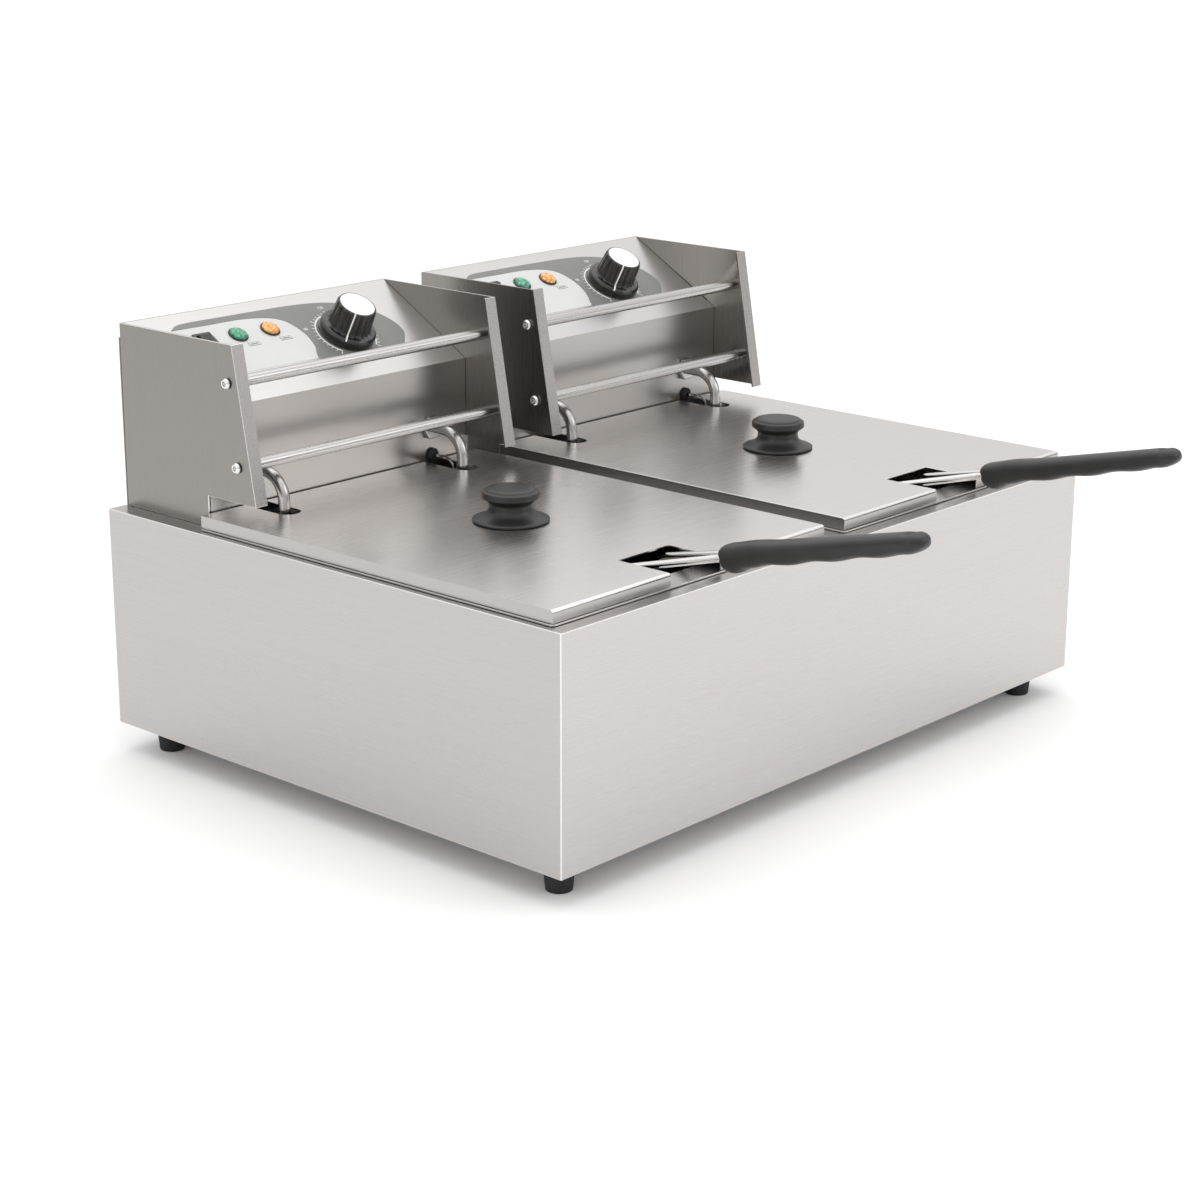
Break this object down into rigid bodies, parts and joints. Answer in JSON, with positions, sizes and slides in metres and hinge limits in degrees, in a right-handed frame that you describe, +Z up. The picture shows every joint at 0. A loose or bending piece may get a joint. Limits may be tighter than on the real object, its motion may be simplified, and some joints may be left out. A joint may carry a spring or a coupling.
{
  "type": "twin countertop deep fryer",
  "caption": "Countertop fryer with side-by-side oil tanks, sheet lids, lift-out baskets and lift-off control heads, in brushed steel.",
  "frame": {"origin": "centre of the bounding box in plan, on the surface the feet stand on", "axes": "+Z up, -Y towards the user (the basket grips), +X to the right of the user"},
  "size_m": [0.55, 0.584, 0.304],
  "materials": {
    "steel_sheet": "brushed satin",
    "bright_wire": "polished",
    "handle_plastic": "fine texture",
    "black_plastic": "semi-gloss",
    "green_lens": "clear gloss",
    "amber_lens": "clear gloss",
    "rubber": "matt"
  },
  "bodies": {
    "casing": {"casing_shell": "steel_sheet", "casing_base": "steel_sheet", "foot_front_left": "rubber", "foot_front_right": "rubber", "foot_rear_left": "rubber", "foot_rear_right": "rubber"},
    "tank_left": {"left_tank": "steel_sheet"},
    "lid_left": {"left_lid": "steel_sheet", "left_lid_knob": "handle_plastic"},
    "basket_left": {"left_basket": "bright_wire", "left_basket_handle_arms": "bright_wire", "left_basket_grip": "handle_plastic"},
    "knob_left": {"left_thermostat_knob": "black_plastic"},
    "rocker_left": {"left_switch_rocker": "black_plastic"},
    "head_left": {"left_head_plate_left": "steel_sheet", "left_head_plate_right": "steel_sheet", "left_head_fascia": "steel_sheet", "left_head_back_cover": "steel_sheet", "left_head_floor": "steel_sheet", "left_rack_rod_upper": "bright_wire", "left_rod_screw_upper_left": "bright_wire", "left_rod_screw_upper_right": "bright_wire", "left_rack_rod_lower": "bright_wire", "left_rod_screw_lower_left": "bright_wire", "left_rod_screw_lower_right": "bright_wire", "left_heating_element": "bright_wire", "left_thermostat_capillary": "bright_wire", "left_capillary_grommet": "rubber", "left_cable_gland": "black_plastic", "left_thermostat": "bright_wire", "left_lamp_green": "green_lens", "left_lamp_amber": "amber_lens", "left_switch_housing": "black_plastic"},
    "tank_right": {"right_tank": "steel_sheet"},
    "lid_right": {"right_lid": "steel_sheet", "right_lid_knob": "handle_plastic"},
    "basket_right": {"right_basket": "bright_wire", "right_basket_handle_arms": "bright_wire", "right_basket_grip": "handle_plastic"},
    "knob_right": {"right_thermostat_knob": "black_plastic"},
    "rocker_right": {"right_switch_rocker": "black_plastic"},
    "head_right": {"right_head_plate_left": "steel_sheet", "right_head_plate_right": "steel_sheet", "right_head_fascia": "steel_sheet", "right_head_back_cover": "steel_sheet", "right_head_floor": "steel_sheet", "right_rack_rod_upper": "bright_wire", "right_rod_screw_upper_left": "bright_wire", "right_rod_screw_upper_right": "bright_wire", "right_rack_rod_lower": "bright_wire", "right_rod_screw_lower_left": "bright_wire", "right_rod_screw_lower_right": "bright_wire", "right_heating_element": "bright_wire", "right_thermostat_capillary": "bright_wire", "right_capillary_grommet": "rubber", "right_cable_gland": "black_plastic", "right_thermostat": "bright_wire", "right_lamp_green": "green_lens", "right_lamp_amber": "amber_lens", "right_switch_housing": "black_plastic"}
  },
  "joints": [
    {"name": "tank_left_lift", "type": "slide", "parent": "casing", "child": "tank_left", "axis": [0, 0, 1], "range_m": [0, 0.2]},
    {"name": "head_left_lift", "type": "slide", "parent": "tank_left", "child": "head_left", "axis": [0, 0, 1], "range_m": [0, 0.2]},
    {"name": "lid_left_tilt", "type": "hinge", "parent": "head_left", "child": "lid_left", "pos_m": [-0.14, 0.1938, 0.293], "axis": [-1, 0, 0], "range_deg": [0, 90]},
    {"name": "basket_left_lift", "type": "slide", "parent": "head_left", "child": "basket_left", "axis": [0, 0, 1], "range_m": [0, 0.071]},
    {"name": "thermostat_left_turn", "type": "hinge", "parent": "head_left", "child": "knob_left", "pos_m": [-0.099, 0.23105, 0.283], "axis": [0, 0.4951, -0.8688], "range_deg": [0, 270]},
    {"name": "switch_left_rock", "type": "hinge", "parent": "head_left", "child": "rocker_left", "pos_m": [-0.212, 0.2486, 0.28149], "axis": [-1, 0, 0], "range_deg": [0, 16]},
    {"name": "tank_right_lift", "type": "slide", "parent": "casing", "child": "tank_right", "axis": [0, 0, 1], "range_m": [0, 0.2]},
    {"name": "head_right_lift", "type": "slide", "parent": "tank_right", "child": "head_right", "axis": [0, 0, 1], "range_m": [0, 0.2]},
    {"name": "lid_right_tilt", "type": "hinge", "parent": "head_right", "child": "lid_right", "pos_m": [0.14, 0.1938, 0.293], "axis": [-1, 0, 0], "range_deg": [0, 90]},
    {"name": "basket_right_lift", "type": "slide", "parent": "head_right", "child": "basket_right", "axis": [0, 0, 1], "range_m": [0, 0.071]},
    {"name": "thermostat_right_turn", "type": "hinge", "parent": "head_right", "child": "knob_right", "pos_m": [0.181, 0.23105, 0.283], "axis": [0, 0.4951, -0.8688], "range_deg": [0, 270]},
    {"name": "switch_right_rock", "type": "hinge", "parent": "head_right", "child": "rocker_right", "pos_m": [0.068, 0.2486, 0.28149], "axis": [-1, 0, 0], "range_deg": [0, 16]}
  ],
  "couplings": [
    {"joint": "basket_left_lift", "follows": "lid_left_tilt", "m_per_rad": 0.045},
    {"joint": "basket_right_lift", "follows": "lid_right_tilt", "m_per_rad": 0.045}
  ]
}
